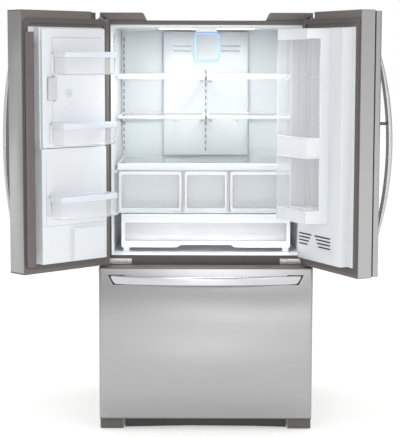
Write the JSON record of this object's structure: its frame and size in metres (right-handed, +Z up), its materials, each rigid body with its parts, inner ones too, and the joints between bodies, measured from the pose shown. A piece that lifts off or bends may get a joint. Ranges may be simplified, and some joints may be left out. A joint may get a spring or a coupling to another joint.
{
  "type": "french door refrigerator",
  "caption": "Bottom-freezer refrigerator with two side-hinged upper doors, door-in-door, shelves, crispers and a pull-out freezer drawer.",
  "frame": {"origin": "on the floor, below the middle of the cabinet's front face", "axes": "+X to the right seen from the front, +Y to the back, +Z up; the doors and drawer face -Y"},
  "size_m": [1.5846, 1.2238, 1.773],
  "materials": {
    "case_paint": "satin",
    "frame_grey": "satin",
    "galvanised": "satin",
    "roller_plastic": "matte",
    "bare_steel": "satin",
    "bright_steel": "polished",
    "insulation": "matte",
    "liner_white": "satin",
    "white_plastic": "satin",
    "white_metal": "satin",
    "trim_grey": "satin",
    "base_grey": "matte",
    "black_metal": "satin",
    "valve_brass": "satin",
    "black_plastic": "matte",
    "shelf_trim": "gloss",
    "shelf_glass": "gloss",
    "clear_plastic": "gloss",
    "stainless": "satin",
    "gasket": "matte",
    "handle_steel": "satin",
    "mullion_grey": "satin",
    "latch_grey": "satin",
    "dispenser_black": "gloss"
  },
  "bodies": {
    "cabinet": {"outer_case": "case_paint", "front_frame": "frame_grey", "rear_panel": "galvanised", "base_frame": "galvanised", "leveling_legs": "bare_steel", "case_insulation": "insulation", "fridge_liner": "liner_white", "freezer_liner": "liner_white", "rear_duct": "white_plastic", "shelf_tracks": "white_metal", "mullion_guide": "white_plastic", "top_hinges": "bare_steel", "hinge_covers": "trim_grey", "lower_hinges": "bright_steel", "toe_grille": "base_grey", "foot_covers": "base_grey", "compressor": "black_metal", "condenser": "black_metal", "water_valve": "valve_brass", "power_inlet": "black_plastic", "evaporator_cover": "white_plastic", "shelf_frames": "shelf_trim", "shelf_glass": "shelf_glass", "crisper_frame": "white_plastic", "slide_rails": "galvanised"},
    "rear_rollers": {"rear_rollers": "roller_plastic"},
    "left_door": {"left_door_skin": "stainless", "left_door_frame": "trim_grey", "left_door_liner": "liner_white", "left_door_gasket": "gasket", "left_door_handle": "handle_steel", "dispenser": "dispenser_black"},
    "mullion": {"mullion": "mullion_grey"},
    "ice_door": {"ice_door": "white_plastic"},
    "ice_latch": {"ice_latch": "latch_grey"},
    "left_upper_bin": {"left_upper_bin": "clear_plastic"},
    "left_middle_bin": {"left_middle_bin": "clear_plastic"},
    "left_lower_bin": {"left_lower_bin": "clear_plastic"},
    "dispenser_paddle": {"dispenser_paddle": "latch_grey"},
    "right_door": {"right_door_frame": "trim_grey", "right_door_liner": "liner_white", "right_door_gasket": "gasket", "right_tower_frame": "white_plastic", "right_tower_panels": "clear_plastic"},
    "outer_door": {"outer_door_skin": "stainless", "outer_door_back": "trim_grey", "outer_handle": "handle_steel"},
    "release_button": {"release_button": "latch_grey"},
    "crisper_left": {"crisper_left": "clear_plastic"},
    "crisper_center": {"crisper_center": "clear_plastic"},
    "crisper_right": {"crisper_right": "clear_plastic"},
    "pantry_drawer": {"pantry_drawer": "clear_plastic"},
    "freezer_drawer": {"drawer_skin": "stainless", "drawer_back": "trim_grey", "drawer_gasket": "gasket", "drawer_handle": "handle_steel", "drawer_basket": "white_plastic", "drawer_rails": "galvanised"},
    "mid_rails": {"mid_rails": "galvanised"},
    "freezer_tray": {"freezer_tray": "clear_plastic"}
  },
  "joints": [
    {"name": "left_door_swing", "type": "hinge", "parent": "cabinet", "child": "left_door", "pos_m": [-0.442, -0.045, 1.2], "axis": [0, 0, -1], "range_deg": [-136, 9]},
    {"name": "right_door_swing", "type": "hinge", "parent": "cabinet", "child": "right_door", "pos_m": [0.442, -0.045, 1.2], "axis": [0, 0, 1], "range_deg": [-116, 14]},
    {"name": "outer_door_swing", "type": "hinge", "parent": "right_door", "child": "outer_door", "pos_m": [0.48335, -0.02483, 1.241], "axis": [0, 0, 1], "range_deg": [0, 100]},
    {"name": "release_button_press", "type": "slide", "parent": "outer_door", "child": "release_button", "axis": [0.8988, 0.4384, 0], "range_m": [0, 0.003], "stiffness_N_per_m": 400},
    {"name": "mullion_fold", "type": "hinge", "parent": "left_door", "child": "mullion", "pos_m": [-0.71163, -0.3794, 1.215], "axis": [0, 0, -1], "range_deg": [0, 90]},
    {"name": "ice_door_swing", "type": "hinge", "parent": "left_door", "child": "ice_door", "pos_m": [-0.42583, -0.13948, 1.46], "axis": [0, 0, 1], "range_deg": [0, 95]},
    {"name": "ice_latch_pull", "type": "hinge", "parent": "ice_door", "child": "ice_latch", "pos_m": [-0.60605, -0.32714, 1.46], "axis": [0, 0, 1], "range_deg": [0, 25], "stiffness_Nm_per_rad": 0.6},
    {"name": "left_upper_bin_lift", "type": "slide", "parent": "ice_door", "child": "left_upper_bin", "axis": [0, 0, 1], "range_m": [0, 0.03]},
    {"name": "left_middle_bin_lift", "type": "slide", "parent": "ice_door", "child": "left_middle_bin", "axis": [0, 0, 1], "range_m": [0, 0.03]},
    {"name": "left_lower_bin_lift", "type": "slide", "parent": "left_door", "child": "left_lower_bin", "axis": [0, 0, 1], "range_m": [0, 0.03]},
    {"name": "dispenser_paddle_push", "type": "hinge", "parent": "left_door", "child": "dispenser_paddle", "pos_m": [-0.62462, -0.17548, 1.196], "axis": [-0.7193, -0.6947, 0], "range_deg": [0, 12], "stiffness_Nm_per_rad": 0.5},
    {"name": "crisper_left_slide", "type": "slide", "parent": "cabinet", "child": "crisper_left", "axis": [0, -1, 0], "range_m": [0, 0.25]},
    {"name": "crisper_center_slide", "type": "slide", "parent": "cabinet", "child": "crisper_center", "axis": [0, -1, 0], "range_m": [0, 0.25]},
    {"name": "crisper_right_slide", "type": "slide", "parent": "cabinet", "child": "crisper_right", "axis": [0, -1, 0], "range_m": [0, 0.25]},
    {"name": "pantry_drawer_slide", "type": "slide", "parent": "cabinet", "child": "pantry_drawer", "axis": [0, -1, 0], "range_m": [0, 0.3]},
    {"name": "freezer_drawer_slide", "type": "slide", "parent": "cabinet", "child": "freezer_drawer", "axis": [0, -1, 0], "range_m": [0, 0.42]},
    {"name": "mid_rail_slide", "type": "slide", "parent": "cabinet", "child": "mid_rails", "axis": [0, -1, 0], "range_m": [0, 0.21]},
    {"name": "freezer_tray_slide", "type": "slide", "parent": "freezer_drawer", "child": "freezer_tray", "axis": [0, 1, 0], "range_m": [0, 0.2]},
    {"name": "rear_roller_spin", "type": "hinge", "parent": "cabinet", "child": "rear_rollers", "pos_m": [0, 0.69, 0.015], "axis": [1, 0, 0], "continuous": true}
  ],
  "couplings": [
    {"joint": "mid_rail_slide", "follows": "freezer_drawer_slide", "ratio": 0.5}
  ]
}
